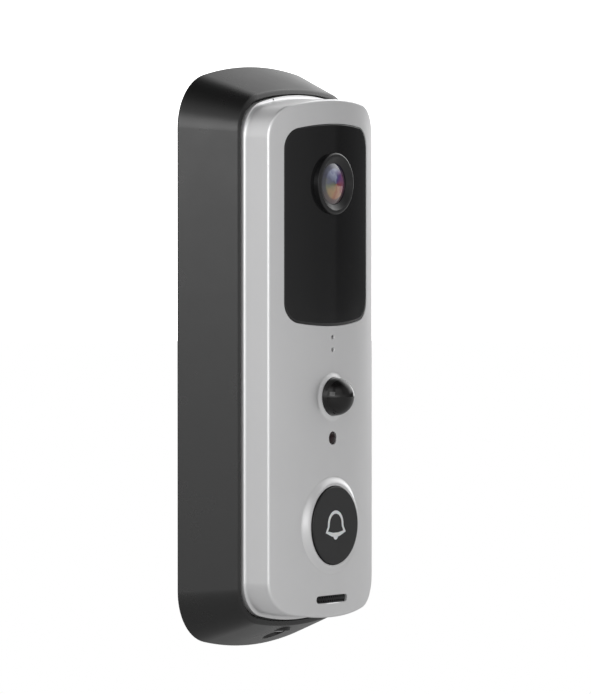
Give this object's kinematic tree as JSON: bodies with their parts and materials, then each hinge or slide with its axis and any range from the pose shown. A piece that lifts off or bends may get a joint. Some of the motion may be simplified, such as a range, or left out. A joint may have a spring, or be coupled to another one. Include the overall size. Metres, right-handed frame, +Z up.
{
  "type": "video doorbell",
  "caption": "Upright video doorbell: convex silver front with a camera window, motion-sensor dome and round push button on a flared dark housing, hung on a slotted wall plate.",
  "frame": {"origin": "centre of the four wall screw slots, on the back face of the wall plate where it meets the wall", "axes": "+X to the right as a visitor sees the front, +Y into the wall, +Z up"},
  "size_m": [0.0646, 0.0327, 0.152],
  "materials": {
    "silver_cover": "satin silver paint",
    "black_window": "smoked gloss",
    "black_ring": "gloss",
    "coated_glass": "blue coated lens",
    "clear_glass": "clear",
    "filter_glass": "pink filter glass",
    "black_metal": "black anodised",
    "black_plastic": "fine texture",
    "plate_black": "fine texture",
    "dark_housing": "satin",
    "dome_black": "gloss",
    "red_window": "tinted",
    "button_black": "soft gloss",
    "white_icon": "translucent white",
    "rubber": "matte",
    "brass": "bright",
    "steel": "plated",
    "copper_wire": "enamelled",
    "circuit_board": "solder mask",
    "flex_cable": "polyimide",
    "wire_red": "insulation",
    "chip": "moulded",
    "led_lens": "clear resin",
    "cell_wrap": "shrink wrap"
  },
  "bodies": {
    "housing": {"front_cover": "silver_cover", "window_panel": "black_window", "lens_ring": "black_ring", "lens_glass": "coated_glass", "lens_barrel": "black_metal", "lens_elements": "clear_glass", "lens_holder": "black_plastic", "filter_frame": "black_plastic", "filter_coil": "copper_wire", "image_sensor": "chip", "camera_board": "circuit_board", "camera_screws": "steel", "ir_board": "circuit_board", "ir_leds": "led_lens", "camera_cable": "flex_cable", "pir_lens": "dome_black", "pir_sensor": "steel", "light_guide": "red_window", "light_sensor": "chip", "mic_gasket": "rubber", "microphone": "brass", "button_ring": "silver_cover", "button_switch": "steel", "button_leds": "led_lens", "speaker": "black_plastic", "speaker_gasket": "rubber", "speaker_mesh": "black_metal", "speaker_cable": "wire_red", "main_board": "circuit_board", "processor": "chip", "shield_can": "steel", "wifi_antenna": "circuit_board", "contact_pins": "brass", "board_screws": "steel", "housing_seal": "rubber", "rear_housing": "dark_housing", "housing_screws": "steel", "terminal_block": "brass", "terminal_screws": "steel", "power_board": "circuit_board", "power_cable": "flex_cable", "setup_switch": "steel", "wall_plate": "plate_black"},
    "button": {"button_cap": "button_black", "bell_icon": "white_icon", "switch_plunger": "black_plastic"},
    "setup": {"setup_button": "black_plastic"},
    "screw": {"security_screw": "steel"},
    "slider": {"filter_slider": "black_plastic", "filter_glass": "filter_glass"},
    "arm": {"filter_arm": "brass"},
    "pack": {"battery_case": "black_plastic", "battery_lid": "black_plastic", "battery_cell": "cell_wrap", "battery_board": "circuit_board", "battery_contacts": "brass", "charge_port": "steel"}
  },
  "joints": [
    {"name": "button_press", "type": "slide", "parent": "housing", "child": "button", "axis": [0, 1, 0], "range_m": [0, 0.0007], "stiffness_N_per_m": 1500, "springref_m": -0.0008},
    {"name": "setup_press", "type": "slide", "parent": "housing", "child": "setup", "axis": [0, -1, 0], "range_m": [0, 0.0005], "stiffness_N_per_m": 800, "springref_m": -0.0006},
    {"name": "screw_withdraw", "type": "slide", "parent": "housing", "child": "screw", "axis": [0, 0, -1], "range_m": [0, 0.009]},
    {"name": "filter_shift", "type": "slide", "parent": "housing", "child": "slider", "axis": [1, 0, 0], "range_m": [0, 0.005]},
    {"name": "arm_swing", "type": "hinge", "parent": "housing", "child": "arm", "pos_m": [0, -0.016, 0.0574], "axis": [0, 1, 0], "range_deg": [-36.42, 0]},
    {"name": "pack_lift", "type": "slide", "parent": "housing", "child": "pack", "axis": [0, 1, 0], "range_m": [0, 0.02]}
  ],
  "couplings": [
    {"joint": "arm_swing", "follows": "filter_shift", "rad_per_m": -127.13}
  ]
}
